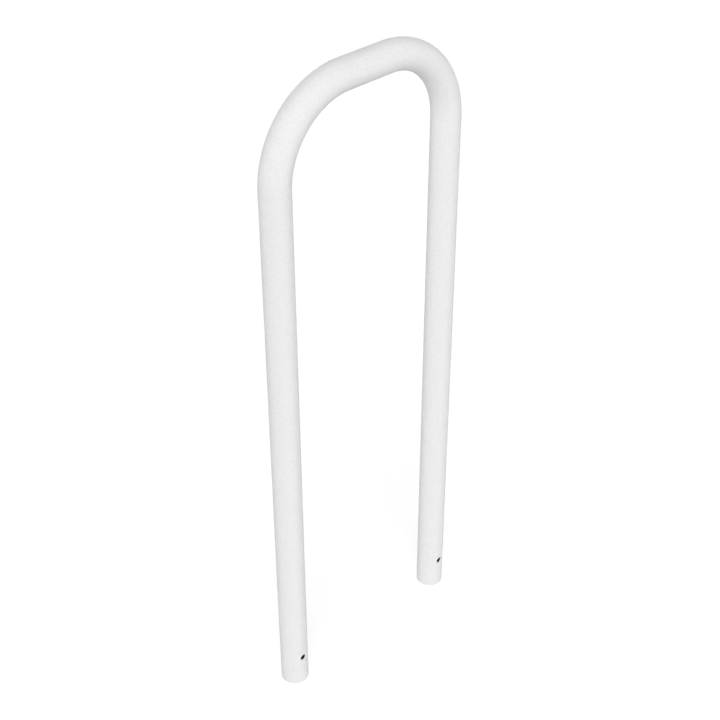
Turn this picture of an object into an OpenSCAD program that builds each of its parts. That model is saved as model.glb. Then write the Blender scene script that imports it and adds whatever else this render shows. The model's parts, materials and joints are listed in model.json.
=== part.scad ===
// Hoop barrier: one steel tube bent to a tall, narrow hoop, for setting in the ground.
// The hoop stands in the XZ plane on the cut ends of its legs.
// The origin is midway between the legs, on the ground.

/* [Hoop] */
// Overall width, outside to outside of the legs
hoop_w = 500; // [400:10:1000]
// Overall height, from the cut ends to the top of the tube
hoop_h = 1400; // [700:10:1800]
// Bend radius at the middle of the tube
bend_r = 166; // [90:1:210]

/* [Tube] */
// Outside diameter of the tube
tube_d = 60; // [42:1:76]
// Wall thickness of the tube
tube_wall = 2.5; // [2:0.1:4]
// Chamfer that deburrs the cut ends, outside and inside
end_chamfer = 0.5; // [0.2:0.1:0.8]

/* [Anchor holes] */
// Diameter of the hole drilled through each leg for a ground anchor
anchor_hole_d = 14; // [8:0.5:20]
// Height of the anchor holes above the cut ends
anchor_hole_z = 74; // [45:1:300]

/* [End plugs] */
// How far a plug's face is set back from the cut end
plug_inset = 1.5; // [1:0.1:4]
// Thickness of a plug's face
plug_face = 3; // [2:0.5:5]
// Gap between a plug's face and the bore
plug_gap = 0.3; // [0.1:0.1:0.6]
// Length of a plug's sleeve behind its face
sleeve_l = 20; // [16:1:28]
// Wall thickness of a plug's sleeve
sleeve_wall = 2; // [1.5:0.1:3]
// Height of the ribs, from the sleeve to the bore
rib_h = 3; // [2:0.1:4]
// Thickness of a rib where it meets the sleeve
rib_root = 1.6; // [1:0.1:2]
// Thickness of a rib at the bore
rib_tip = 0.8; // [0.5:0.1:1]
// Number of ribs on a plug
rib_count = 4; // [2:1:5]
// Diameter of the moulded dish in a plug's face
dish_d = 30; // [20:1:34]
// Depth of the dish
dish_depth = 0.8; // [0.4:0.1:1.2]

/* [Hidden] */
$fn = 96;
bore_d = tube_d - 2 * tube_wall;
leg_x = (hoop_w - tube_d) / 2;
rail_z = hoop_h - tube_d / 2;
leg_l = rail_z - bend_r;
rail_l = 2 * (leg_x - bend_r);
sleeve_d = bore_d - 2 * rib_h;
rib_pitch = sleeve_l / rib_count;
// How far the drill runs out past each side of the leg
drill_over = 1;
drill_l = tube_d + 2 * drill_over;
coat_white = [0.93, 0.93, 0.93];
plug_black = [0.06, 0.06, 0.06];

// The tube's cross-section, set off from the origin by the bend radius.
// Legs, bends and rail are all swept from it, so their ends match point for point.
module tube_ring() {
    translate([bend_r, 0])
        difference() {
            circle(d = tube_d);
            circle(d = bore_d);
        }
}

// The corners that deburring takes off a cut end, as radius and height
module burr_section() {
    outer = tube_d / 2;
    inner = bore_d / 2;
    c = end_chamfer;
    polygon([[outer - 2 * c, -c], [outer + c, -c], [outer + c, 2 * c]]);
    polygon([[inner + 2 * c, -c], [inner - c, -c], [inner - c, 2 * c]]);
}

// The right leg, from its cut end to the start of the bend
module leg() {
    difference() {
        translate([leg_x - bend_r, 0, leg_l])
            rotate([180, 0, 0])
                linear_extrude(leg_l) tube_ring();
        translate([leg_x, 0, 0])
            rotate_extrude() burr_section();
    }
}

// The quarter bend from the top of the right leg to the rail
module bend() {
    translate([leg_x - bend_r, 0, leg_l])
        rotate([90, 0, 0])
            rotate_extrude(angle = 90) tube_ring();
}

// The straight rail between the two bends
module rail() {
    translate([rail_l / 2, 0, leg_l])
        rotate([0, -90, 0])
            linear_extrude(rail_l) tube_ring();
}

// The drill through one leg, square to the hoop's plane
module anchor_drill() {
    translate([0, 0, anchor_hole_z])
        rotate([90, 0, 0])
            cylinder(d = anchor_hole_d, h = drill_l, center = true);
}

// The whole tube: it is one length, bent twice and drilled through each leg
module hoop_tube() {
    color(coat_white)
        difference() {
            union() {
                rail();
                for (side = [0, 1])
                    mirror([side, 0, 0]) {
                        bend();
                        leg();
                    }
            }
            for (side = [-1, 1])
                translate([side * leg_x, 0, 0]) anchor_drill();
        }
}

// One rib of a plug, which thins from the sleeve to the bore
module plug_rib() {
    root = sleeve_d / 2 - sleeve_wall / 2;
    rotate_extrude()
        polygon([
            [root, -rib_root / 2],
            [sleeve_d / 2, -rib_root / 2],
            [bore_d / 2, -rib_tip / 2],
            [bore_d / 2, rib_tip / 2],
            [sleeve_d / 2, rib_root / 2],
            [root, rib_root / 2]
        ]);
}

// Half of a plug's section: the dished face and the open sleeve behind it
module plug_cup_wall() {
    face_r = bore_d / 2 - plug_gap;
    outer = sleeve_d / 2;
    inner = outer - sleeve_wall;
    polygon([
        [0, dish_depth],
        [dish_d / 2, dish_depth],
        [dish_d / 2 + dish_depth, 0],
        [face_r, 0],
        [face_r, plug_face],
        [outer, plug_face],
        [outer, plug_face + sleeve_l],
        [inner, plug_face + sleeve_l],
        [inner, plug_face],
        [0, plug_face]
    ]);
}

// A ribbed plug, pressed into the cut end of the leg at this side
module end_plug(side) {
    color(plug_black)
        translate([side * leg_x, 0, plug_inset]) {
            rotate_extrude() plug_cup_wall();
            for (i = [0 : rib_count - 1])
                translate([0, 0, plug_face + (i + 0.5) * rib_pitch]) plug_rib();
        }
}

hoop_tube();
end_plug(-1);  // left_end_plug
end_plug(1);  // right_end_plug
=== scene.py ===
"""A hoop barrier: one bent steel tube, powder coated white, with a ribbed plug in each cut end."""
import json
import math

import bmesh
import bpy
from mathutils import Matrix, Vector


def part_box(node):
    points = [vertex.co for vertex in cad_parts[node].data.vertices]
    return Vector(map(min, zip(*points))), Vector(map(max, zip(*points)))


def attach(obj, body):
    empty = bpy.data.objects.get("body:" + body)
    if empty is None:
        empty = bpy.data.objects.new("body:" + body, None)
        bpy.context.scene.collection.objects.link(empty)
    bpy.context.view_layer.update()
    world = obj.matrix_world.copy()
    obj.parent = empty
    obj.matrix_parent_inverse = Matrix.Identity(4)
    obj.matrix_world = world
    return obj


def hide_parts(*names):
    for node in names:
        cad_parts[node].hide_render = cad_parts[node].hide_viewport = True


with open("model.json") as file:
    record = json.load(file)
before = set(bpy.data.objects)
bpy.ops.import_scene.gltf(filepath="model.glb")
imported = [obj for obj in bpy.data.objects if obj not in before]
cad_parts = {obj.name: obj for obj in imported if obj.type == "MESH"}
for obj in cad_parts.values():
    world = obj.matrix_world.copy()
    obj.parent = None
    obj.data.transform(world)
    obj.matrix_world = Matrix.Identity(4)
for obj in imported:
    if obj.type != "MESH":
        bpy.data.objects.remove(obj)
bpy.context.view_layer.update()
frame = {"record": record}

MM = 0.001

# What the frame gives: the box round the tube, and the mounts on its left leg
tube_low, tube_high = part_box("hoop_tube")
mounts = {mount["name"]: mount for mount in frame["record"]["mounts"]}
leg_mount = mounts["left_leg"]
hole_mount = mounts["left_anchor_hole"]

# The tube
TUBE_R = (tube_high.y - tube_low.y) / 2
WALL = 2.5 * MM
BORE_R = TUBE_R - WALL
EDGE = 0.5 * MM
LEG_X = tube_high.x - TUBE_R
RAIL_Z = tube_high.z - TUBE_R
LEG_TOP = EDGE + leg_mount["dims"]["length_mm"] * MM
BEND_R = RAIL_Z - LEG_TOP
HOLE_R = hole_mount["dims"]["r_mm"] * MM
HOLE_Z = hole_mount["pos_m"][2]
HOOP_MIDDLE = Vector((0, 0, RAIL_Z / 2))

# How finely the tube and the plugs are divided
ROUND = 96
BEND_STEPS = 48
FOOT_STEPS = 5
LEG_STEPS = 20
EDGE_STEPS = 3
PLUG_ROUND_STEPS = 2
SMOOTH_ANGLE = math.radians(40)

# The square patch of faces that is taken out for each anchor hole
PATCH_SIDE = 8
PATCH_ROW = 2 * MM
PATCH_H = PATCH_SIDE * PATCH_ROW

# How far off a point may be and still count as on a skin, or level with a face
SKIN_SLACK = 0.2 * MM
LEVEL_SLACK = 0.01 * MM

# The end plugs
PLUG_FACE = 3 * MM
PLUG_GAP = 0.3 * MM
PLUG_ROUND = 0.2 * MM
SLEEVE_WALL = 2 * MM
RIBS = 4
RIB_H = 3 * MM
RIB_ROOT = 1.6 * MM
RIB_TIP = 0.8 * MM
DISH_R = 15 * MM
DISH_DEPTH = 0.8 * MM
GATE_R = 2 * MM
GATE_H = 0.4 * MM

# The powder coat: a faint mottle, a soft orange peel and a fine sandy grain on it
COAT_LIGHT = (0.903, 0.903, 0.903)
COAT_DARK = (0.851, 0.851, 0.851)
COAT_ROUGHNESS = (0.6, 0.7)
COAT_SPECULAR = 0.25
MOTTLE_GRAIN = 3.6 * MM
MOTTLE_MIDDLE = (0.35, 0.65)
PEEL_GRAIN = 5 * MM
PEEL_HEIGHT = 0.7 * MM
SAND_GRAIN = 0.7 * MM
SAND_HEIGHT = 0.2 * MM

# The zinc inside the tube, with faint spangles
ZINC_LIGHT = (0.46, 0.47, 0.48)
ZINC_DARK = (0.30, 0.31, 0.32)
ZINC_ROUGHNESS = (0.45, 0.65)
SPANGLE_GRAIN = 14 * MM
SPANGLE_MIDDLE = (0.3, 0.7)

# The plugs' plastic, with a slight cloudiness and the fine grain of a spark-eroded mould
PLASTIC_LIGHT = (0.034, 0.034, 0.036)
PLASTIC_DARK = (0.022, 0.022, 0.024)
PLASTIC_ROUGHNESS = (0.46, 0.6)
CLOUD_GRAIN = 5 * MM
CLOUD_MIDDLE = (0.3, 0.7)
SPARK_GRAIN = 0.5 * MM
SPARK_HEIGHT = 0.03 * MM

# How far every pattern is turned off its piece's axes, in radians
PATTERN_TURN = (0.6, 0.35, 0.9)

# The studio, with each lamp's name, azimuth, elevation, strength and width, its angles in degrees
FLOOR_SIZE = 80
FLOOR_GREY = (0.6, 0.6, 0.6, 1)
FLOOR_GLOW = 0.59
SKY_WHITE = 1
SKY_LIGHT = 0.15
LAMP_DISTANCE = 4
LAMPS = [
    ("key_lamp", -45, 25, 2.12, 50),
    ("fill_lamp", 40, 15, 0.86, 50),
    ("left_lamp", -140, 30, 0.74, 50),
    ("right_lamp", 100, 50, 0.43, 50),
    ("rear_lamp", 150, 5, 0.3, 20),
]

# The photograph's camera, with its focal length and optical centre in pixels of its frame
VIEW_AZIMUTH = -45
VIEW_ELEVATION = 35.264
CAMERA_PLACE = (-1.6154, -1.6155, 2.3138)
PICTURE_W = 720
FOCAL_PX = 1374.6
CENTRE_PX = (364.7, 378.23)
FILM_W = 36


def start_ring(name, radius, centre):
    """Adds an open ring with its place in its mesh, and opens it with all of it selected."""
    bpy.ops.mesh.primitive_circle_add(
        vertices=ROUND, radius=radius, fill_type="NOTHING", location=centre
    )
    piece = bpy.context.object
    piece.name = name
    piece.data.name = name
    bpy.ops.object.transform_apply(location=True, rotation=True, scale=True)
    bpy.ops.object.mode_set(mode="EDIT")
    bpy.ops.mesh.select_mode(type="VERT")
    bpy.ops.mesh.select_all(action="SELECT")
    return piece


def pick(piece, wanted, kind):
    """Selects only the edges or faces of the open mesh that pass the test."""
    bpy.ops.mesh.select_mode(type=kind)
    bpy.ops.mesh.select_all(action="DESELECT")
    mesh = bmesh.from_edit_mesh(piece.data)
    parts = {"EDGE": mesh.edges, "FACE": mesh.faces}[kind]
    for part in parts:
        part.select_set(wanted(part))
    mesh.select_flush_mode()
    bmesh.update_edit_mesh(piece.data)


def extrude(x=0.0, z=0.0):
    """Draws the selected ring on by one step."""
    bpy.ops.mesh.extrude_region_move(TRANSFORM_OT_translate={"value": (x, 0, z)})


def apply_modifier(piece, kind, **settings):
    """Adds a modifier to a piece and applies it at once."""
    bpy.ops.object.mode_set(mode="OBJECT")
    modifier = piece.modifiers.new(kind.title(), kind)
    for name, value in settings.items():
        setattr(modifier, name, value)
    bpy.ops.object.modifier_apply(modifier=modifier.name)
    bpy.ops.object.mode_set(mode="EDIT")


def close_mesh():
    """Closes the open mesh and smooths all but its sharp edges."""
    bpy.ops.object.mode_set(mode="OBJECT")
    bpy.ops.object.shade_smooth_by_angle(angle=SMOOTH_ANGLE)


# The coated hoop


def draw_half_tube():
    """Draws the tube's outer skin from the left foot to the middle of the rail."""
    tube = start_ring("coated_hoop", TUBE_R, (-LEG_X, 0, 0))
    patch_low = HOLE_Z - PATCH_H / 2
    patch_high = HOLE_Z + PATCH_H / 2
    stretches = [(patch_low, FOOT_STEPS), (PATCH_H, PATCH_SIDE), (LEG_TOP - patch_high, LEG_STEPS)]
    for length, steps in stretches:
        for _ in range(steps):
            extrude(z=length / steps)
    bend_centre = (BEND_R - LEG_X, 0, LEG_TOP)
    bpy.ops.mesh.spin(steps=BEND_STEPS, angle=math.pi / 2, center=bend_centre, axis=(0, -1, 0))
    extrude(x=LEG_X - BEND_R)
    bpy.ops.mesh.select_all(action="SELECT")
    bpy.ops.mesh.normals_make_consistent(inside=False)
    return tube


def open_holes(tube):
    """Takes a square patch out of both sides of the left leg, where the drill goes through."""
    half_turn = math.pi * PATCH_SIDE / ROUND
    half_w = TUBE_R * math.sin(half_turn)

    def in_patch(face):
        centre = face.calc_center_median()
        return abs(centre.x + LEG_X) < half_w and abs(centre.z - HOLE_Z) < PATCH_H / 2

    pick(tube, in_patch, "FACE")
    bpy.ops.mesh.delete(type="FACE")


def is_rim(edge, crease):
    """Whether an edge bounds the skin, or did before the skin got its wall."""
    return edge.is_boundary or (crease is not None and edge[crease] > 0)


def turn_round_hole(point, leg_x):
    """A point's angle round a hole's axis, counted from just before the hole's right-hand side."""
    before = 0.01
    return (math.atan2(point.z - HOLE_Z, point.x - leg_x) + before) % (2 * math.pi)


def round_holes(tube, skin_r):
    """Pulls the rim of each hole in one skin to the circle that a drill leaves there."""
    mesh = bmesh.from_edit_mesh(tube.data)
    crease = mesh.edges.layers.float.get("crease_edge")
    rims = {v for edge in mesh.edges if is_rim(edge, crease) for v in edge.verts}
    for leg_x in (-LEG_X, LEG_X):
        for side in (-1, 1):
            rim = [
                v
                for v in rims
                if v.co.z > EDGE
                and v.co.y * side > 0
                and abs(math.hypot(v.co.x - leg_x, v.co.y) - skin_r) < SKIN_SLACK
            ]
            rim.sort(key=lambda v: turn_round_hole(v.co, leg_x))
            for i, v in enumerate(rim):
                turn = 2 * math.pi * i / len(rim)
                across = HOLE_R * math.cos(turn)
                v.co.x = leg_x + across
                v.co.y = side * math.sqrt(skin_r**2 - across**2)
                v.co.z = HOLE_Z + HOLE_R * math.sin(turn)
    bmesh.update_edit_mesh(tube.data)


def soften_rims(tube):
    """Rounds the drilled edges and the cut ends, as deburring and paint leave them."""
    mesh = bmesh.from_edit_mesh(tube.data)
    crease = mesh.edges.layers.float["crease_edge"]
    pick(tube, lambda edge: is_rim(edge, crease), "EDGE")
    bpy.ops.mesh.bevel(offset=EDGE, segments=EDGE_STEPS, profile=0.5, affect="EDGES")


def make_hoop(coat, bore_finish):
    """Models the whole tube, with its wall and its drilled holes, in place of the plain one."""
    tube = draw_half_tube()
    tube.data.materials.append(coat)
    tube.data.materials.append(bore_finish)
    open_holes(tube)
    round_holes(tube, TUBE_R)
    apply_modifier(tube, "MIRROR", use_axis=(True, False, False), merge_threshold=SKIN_SLACK)
    apply_modifier(
        tube,
        "SOLIDIFY",
        thickness=WALL,
        offset=-1,
        use_even_offset=True,
        edge_crease_outer=1,
        edge_crease_inner=1,
        material_offset=1,
    )
    round_holes(tube, BORE_R)
    soften_rims(tube)
    close_mesh()
    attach(tube, "root")
    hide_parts("hoop_tube")


# The end plugs


def shrink(ratio, centre):
    """Scales the selected ring towards its own middle."""
    bpy.ops.transform.resize(value=(ratio, ratio, 1), center_override=centre)


def plug_outline(length):
    """The plug's outline as (radius, height) steps, from the dish in its face to its inside."""
    sleeve_l = length - PLUG_FACE
    face_r = BORE_R - PLUG_GAP
    sleeve_r = BORE_R - RIB_H
    inside_r = sleeve_r - SLEEVE_WALL
    steps = [(DISH_R, DISH_DEPTH), (DISH_R + DISH_DEPTH, 0), (face_r, 0), (face_r, PLUG_FACE)]
    steps.append((sleeve_r, PLUG_FACE))
    for i in range(RIBS):
        middle = PLUG_FACE + (i + 0.5) * sleeve_l / RIBS
        steps.append((sleeve_r, middle - RIB_ROOT / 2))
        steps.append((BORE_R, middle - RIB_TIP / 2))
        steps.append((BORE_R, middle + RIB_TIP / 2))
        steps.append((sleeve_r, middle + RIB_ROOT / 2))
    steps += [(sleeve_r, length), (inside_r, length), (inside_r, PLUG_FACE)]
    return steps


def raise_gate_mark(plug, dish_z):
    """Leaves the small raised mark of the mould's gate in the middle of the dish."""
    pick(plug, lambda face: all(abs(v.co.z - dish_z) < LEVEL_SLACK for v in face.verts), "FACE")
    bpy.ops.mesh.inset(thickness=DISH_R - GATE_R)
    bpy.ops.mesh.inset(thickness=GATE_H, depth=GATE_H)


def make_plug(node, name, plastic):
    """Models one ribbed plug where the frame has it."""
    low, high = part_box(node)
    x = (low.x + high.x) / 2
    outline = plug_outline(high.z - low.z)
    radius, height = outline[0]
    plug = start_ring(name, radius, (x, 0, low.z + height))
    for next_radius, next_height in outline[1:]:
        extrude(z=next_height - height)
        shrink(next_radius / radius, (x, 0, low.z + next_height))
        radius, height = next_radius, next_height
    bpy.ops.mesh.select_mode(type="EDGE")
    bpy.ops.mesh.select_all(action="SELECT")
    bpy.ops.mesh.fill_holes(sides=0)
    bpy.ops.mesh.normals_make_consistent(inside=False)
    raise_gate_mark(plug, low.z + DISH_DEPTH)
    apply_modifier(plug, "BEVEL", width=PLUG_ROUND, segments=PLUG_ROUND_STEPS, limit_method="ANGLE")
    close_mesh()
    plug.data.materials.append(plastic)
    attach(plug, "root")
    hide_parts(node)


# Finishes


def new_material(name, **settings):
    """A material, its node tree and its shader, with the shader's plain values set."""
    material = bpy.data.materials.new(name)
    material.use_nodes = True
    shader = material.node_tree.nodes["Principled BSDF"]
    for socket, value in settings.items():
        shader.inputs[socket.replace("_", " ")].default_value = value
    return material, material.node_tree, shader


def noise(tree, grain, detail):
    """A noise whose grains are about the given size, fixed to the piece and turned off its axes."""
    place = tree.nodes.new("ShaderNodeTexCoord")
    turned = tree.nodes.new("ShaderNodeMapping")
    turned.inputs["Rotation"].default_value = PATTERN_TURN
    texture = tree.nodes.new("ShaderNodeTexNoise")
    texture.inputs["Scale"].default_value = 1 / grain
    texture.inputs["Detail"].default_value = detail
    tree.links.new(place.outputs["Object"], turned.inputs["Vector"])
    tree.links.new(turned.outputs["Vector"], texture.inputs["Vector"])
    return texture.outputs["Fac"]


def spread(tree, value, old_range, new_range):
    """Maps a value from one range to another."""
    node = tree.nodes.new("ShaderNodeMapRange")
    for end, number in zip(("From Min", "From Max", "To Min", "To Max"), (*old_range, *new_range)):
        node.inputs[end].default_value = number
    tree.links.new(value, node.inputs["Value"])
    return node.outputs["Result"]


def tint(tree, factor, colour_a, colour_b):
    """Blends two colours by a factor."""
    node = tree.nodes.new("ShaderNodeMix")
    node.data_type = "RGBA"
    node.inputs["A"].default_value = (*colour_a, 1)
    node.inputs["B"].default_value = (*colour_b, 1)
    tree.links.new(factor, node.inputs["Factor"])
    return node.outputs["Result"]


def relief(tree, pattern, height, under=None):
    """A bump as high as the pattern times the given height, laid over another one if there is one."""
    node = tree.nodes.new("ShaderNodeBump")
    node.inputs["Strength"].default_value = 1
    node.inputs["Distance"].default_value = height
    tree.links.new(pattern, node.inputs["Height"])
    if under is not None:
        tree.links.new(under, node.inputs["Normal"])
    return node.outputs["Normal"]


def make_powder_coat():
    """Fine-textured white powder coat: a soft orange peel with a sandy grain and a faint mottle."""
    material, tree, shader = new_material("white_powder_coat", Specular_IOR_Level=COAT_SPECULAR)
    mottle = noise(tree, MOTTLE_GRAIN, detail=2)
    shade = spread(tree, mottle, MOTTLE_MIDDLE, (0, 1))
    roughness = spread(tree, mottle, MOTTLE_MIDDLE, COAT_ROUGHNESS)
    peel = relief(tree, noise(tree, PEEL_GRAIN, detail=1), PEEL_HEIGHT)
    sand = relief(tree, noise(tree, SAND_GRAIN, detail=0), SAND_HEIGHT, under=peel)
    tree.links.new(tint(tree, shade, COAT_DARK, COAT_LIGHT), shader.inputs["Base Color"])
    tree.links.new(roughness, shader.inputs["Roughness"])
    tree.links.new(sand, shader.inputs["Normal"])
    return material


def make_zinc():
    """Dull galvanised steel on the inside of the tube, with faint spangles."""
    material, tree, shader = new_material("galvanised_bore", Metallic=1.0)
    spangles = noise(tree, SPANGLE_GRAIN, detail=3)
    roughness = spread(tree, spangles, SPANGLE_MIDDLE, ZINC_ROUGHNESS)
    tree.links.new(tint(tree, spangles, ZINC_DARK, ZINC_LIGHT), shader.inputs["Base Color"])
    tree.links.new(roughness, shader.inputs["Roughness"])
    return material


def make_plug_plastic():
    """Black moulded polyethylene with a fine spark-eroded grain."""
    material, tree, shader = new_material("moulded_black_plastic")
    cloud = noise(tree, CLOUD_GRAIN, detail=2)
    roughness = spread(tree, cloud, CLOUD_MIDDLE, PLASTIC_ROUGHNESS)
    sparks = relief(tree, noise(tree, SPARK_GRAIN, detail=2), SPARK_HEIGHT)
    tree.links.new(tint(tree, cloud, PLASTIC_DARK, PLASTIC_LIGHT), shader.inputs["Base Color"])
    tree.links.new(roughness, shader.inputs["Roughness"])
    tree.links.new(sparks, shader.inputs["Normal"])
    return material


# Studio


def seen(tree, when_seen, otherwise):
    """One number for rays from the camera, in reflections and through glass, and another for the rest."""
    path = tree.nodes.new("ShaderNodeLightPath")
    total = path.outputs["Is Camera Ray"]
    for ray in ("Is Glossy Ray", "Is Transmission Ray"):
        node = tree.nodes.new("ShaderNodeMath")
        node.operation = "MAXIMUM"
        tree.links.new(total, node.inputs[0])
        tree.links.new(path.outputs[ray], node.inputs[1])
        total = node.outputs["Value"]
    return spread(tree, total, (0, 1), (otherwise, when_seen))


def make_floor():
    """A plain pale floor that the camera sees as white wherever no shadow falls."""
    bpy.ops.mesh.primitive_plane_add(size=FLOOR_SIZE)
    floor = bpy.context.object
    floor.name = "floor"
    material = bpy.data.materials.new("pale_floor")
    material.use_nodes = True
    tree = material.node_tree
    tree.nodes.clear()
    ground = tree.nodes.new("ShaderNodeBsdfDiffuse")
    ground.inputs["Color"].default_value = FLOOR_GREY
    glow = tree.nodes.new("ShaderNodeEmission")
    tree.links.new(seen(tree, FLOOR_GLOW, 0), glow.inputs["Strength"])
    both = tree.nodes.new("ShaderNodeAddShader")
    out = tree.nodes.new("ShaderNodeOutputMaterial")
    tree.links.new(ground.outputs["BSDF"], both.inputs[0])
    tree.links.new(glow.outputs["Emission"], both.inputs[1])
    tree.links.new(both.outputs["Shader"], out.inputs["Surface"])
    floor.data.materials.append(material)


def make_sky():
    """Weak, even white light from all round, and plain white to look at."""
    world = bpy.data.worlds.new("white_studio")
    world.use_nodes = True
    tree = world.node_tree
    background = tree.nodes["Background"]
    background.inputs["Color"].default_value = (1, 1, 1, 1)
    tree.links.new(seen(tree, SKY_WHITE, SKY_LIGHT), background.inputs["Strength"])
    bpy.context.scene.world = world


def direction(azimuth, elevation):
    """The way from the hoop to what stands round it: azimuth 0 is in front of it, -90 on its left."""
    a = math.radians(azimuth)
    e = math.radians(elevation)
    return Vector((math.sin(a) * math.cos(e), -math.cos(a) * math.cos(e), math.sin(e)))


def make_lamp(name, azimuth, elevation, strength, width):
    """A far, wide soft lamp, which lights the hoop alike from top to bottom."""
    way = direction(azimuth, elevation)
    bpy.ops.object.light_add(type="SUN", location=HOOP_MIDDLE + way * LAMP_DISTANCE)
    lamp = bpy.context.object
    lamp.name = name
    lamp.data.angle = math.radians(width)
    lamp.data.energy = strength
    lamp.rotation_euler = way.to_track_quat("Z", "Y").to_euler()


def make_camera():
    """The photograph's camera: down on the hoop from its front left, 35 degrees above the horizon."""
    way = direction(VIEW_AZIMUTH, VIEW_ELEVATION)
    bpy.ops.object.camera_add(location=CAMERA_PLACE)
    camera = bpy.context.object
    camera.rotation_euler = way.to_track_quat("Z", "Y").to_euler()
    camera.data.sensor_width = FILM_W
    camera.data.lens = FILM_W * FOCAL_PX / PICTURE_W
    camera.data.shift_x = 0.5 - CENTRE_PX[0] / PICTURE_W
    camera.data.shift_y = CENTRE_PX[1] / PICTURE_W - 0.5
    bpy.context.scene.camera = camera


make_camera()

make_hoop(make_powder_coat(), make_zinc())
plug_plastic = make_plug_plastic()
make_plug("left_end_plug", "left_ribbed_plug", plug_plastic)
make_plug("right_end_plug", "right_ribbed_plug", plug_plastic)

make_floor()
make_sky()
for lamp_settings in LAMPS:
    make_lamp(*lamp_settings)

bpy.context.scene.view_settings.view_transform = "Standard"
